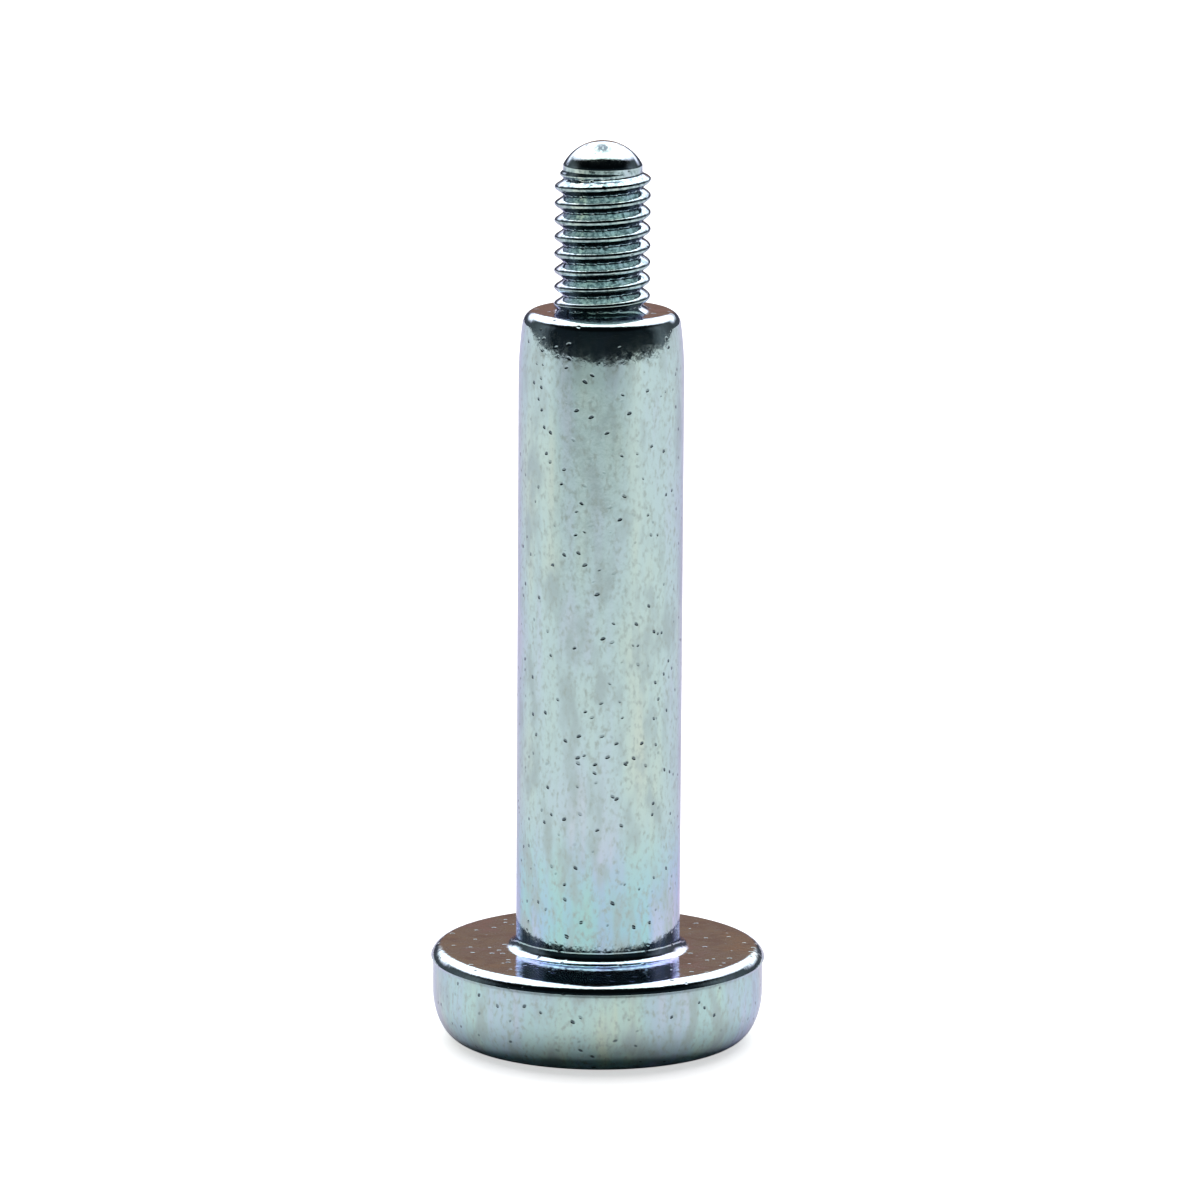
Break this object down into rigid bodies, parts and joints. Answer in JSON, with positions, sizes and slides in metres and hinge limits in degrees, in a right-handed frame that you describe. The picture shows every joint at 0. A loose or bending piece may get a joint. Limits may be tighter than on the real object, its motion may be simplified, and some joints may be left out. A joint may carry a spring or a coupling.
{
  "type": "shoulder bolt",
  "caption": "Shoulder bolt standing on its flat round head: a long plain shoulder to pivot on, and a short threaded stud with a domed plain point.",
  "frame": {"origin": "middle of the head's resting face, on the bolt's axis", "axes": "+Z along the bolt's axis from the head to the threaded end; +X and +Y across it, with two corners of the socket's hexagon on X"},
  "size_m": [0.014, 0.014, 0.0381],
  "materials": {
    "zinc_plate": "bright zinc plating, clear blue passivate"
  },
  "bodies": {
    "root": {"shoulder_bolt": "zinc_plate"}
  },
  "joints": []
}
